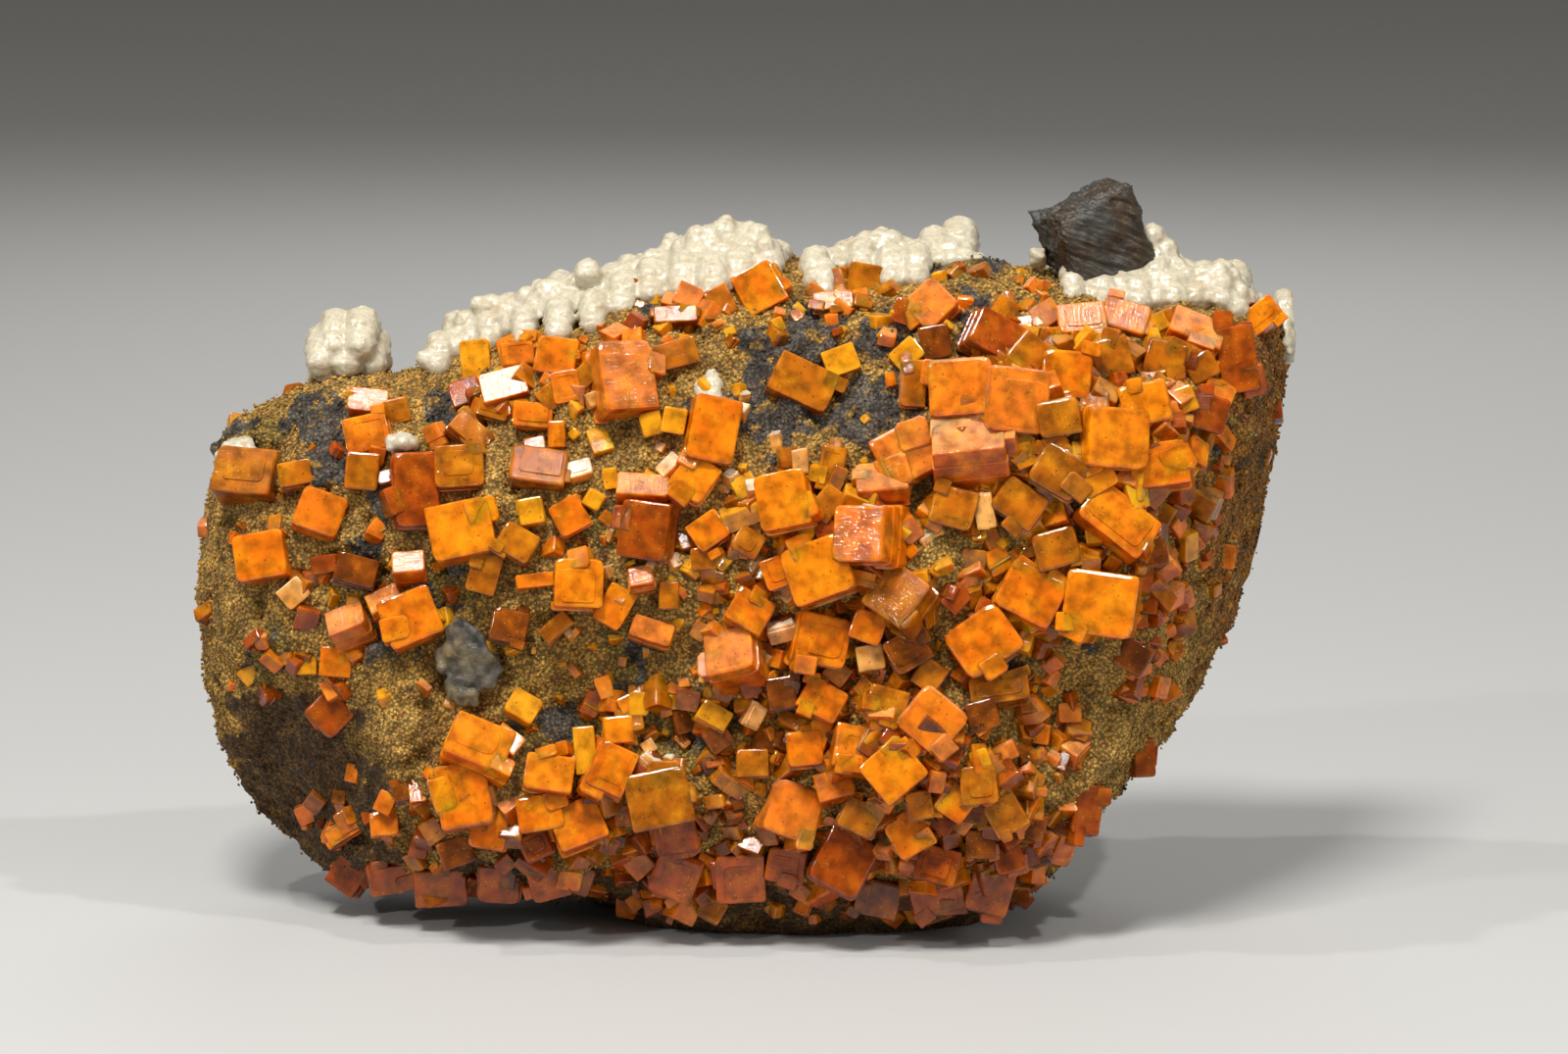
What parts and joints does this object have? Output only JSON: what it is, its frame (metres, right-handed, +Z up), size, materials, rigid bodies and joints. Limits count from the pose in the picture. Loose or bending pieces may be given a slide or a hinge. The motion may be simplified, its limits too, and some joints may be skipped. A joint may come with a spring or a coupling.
{
  "type": "wulfenite specimen",
  "caption": "Square orange wulfenite crystals and white calcite crusts on a slab of tan granular matrix, standing on a flat foot.",
  "frame": {"origin": "middle of the specimen's box in plan, at the height of its foot", "axes": "+X along the slab's length, +Y towards its back, +Z up; the crystal-covered front faces -Y"},
  "size_m": [0.1146, 0.0496, 0.0762],
  "materials": {
    "matrix": "dull, granular",
    "wulfenite": "see-through, adamantine gloss",
    "calcite": "milky, satin",
    "dark_mineral": "dull, striated"
  },
  "bodies": {
    "root": {"calcite_ball": "calcite", "calcite_cap": "calcite", "calcite_crust_left": "calcite", "calcite_crust_main": "calcite", "calcite_crust_middle": "calcite", "calcite_crust_right": "calcite", "calcite_rim": "calcite", "calcite_tip": "calcite", "dark_block": "dark_mineral", "dark_flake": "dark_mineral", "matrix": "matrix", "wulfenite_01": "wulfenite", "wulfenite_02": "wulfenite", "wulfenite_03": "wulfenite", "wulfenite_04": "wulfenite", "wulfenite_05": "wulfenite", "wulfenite_06": "wulfenite", "wulfenite_07": "wulfenite", "wulfenite_08": "wulfenite", "wulfenite_09": "wulfenite", "wulfenite_10": "wulfenite", "wulfenite_11": "wulfenite", "wulfenite_12": "wulfenite", "wulfenite_13": "wulfenite", "wulfenite_14": "wulfenite", "wulfenite_15": "wulfenite", "wulfenite_16": "wulfenite", "wulfenite_17": "wulfenite", "wulfenite_18": "wulfenite", "wulfenite_19": "wulfenite", "wulfenite_20": "wulfenite", "wulfenite_21": "wulfenite", "wulfenite_22": "wulfenite", "wulfenite_23": "wulfenite", "wulfenite_24": "wulfenite", "wulfenite_25": "wulfenite", "wulfenite_26": "wulfenite", "wulfenite_27": "wulfenite", "wulfenite_28": "wulfenite", "wulfenite_29": "wulfenite", "wulfenite_30": "wulfenite", "wulfenite_31": "wulfenite", "wulfenite_32": "wulfenite", "wulfenite_33": "wulfenite", "wulfenite_34": "wulfenite", "wulfenite_35": "wulfenite", "wulfenite_36": "wulfenite", "wulfenite_37": "wulfenite", "wulfenite_38": "wulfenite", "wulfenite_39": "wulfenite", "wulfenite_40": "wulfenite", "wulfenite_41": "wulfenite", "wulfenite_42": "wulfenite"}
  },
  "joints": []
}
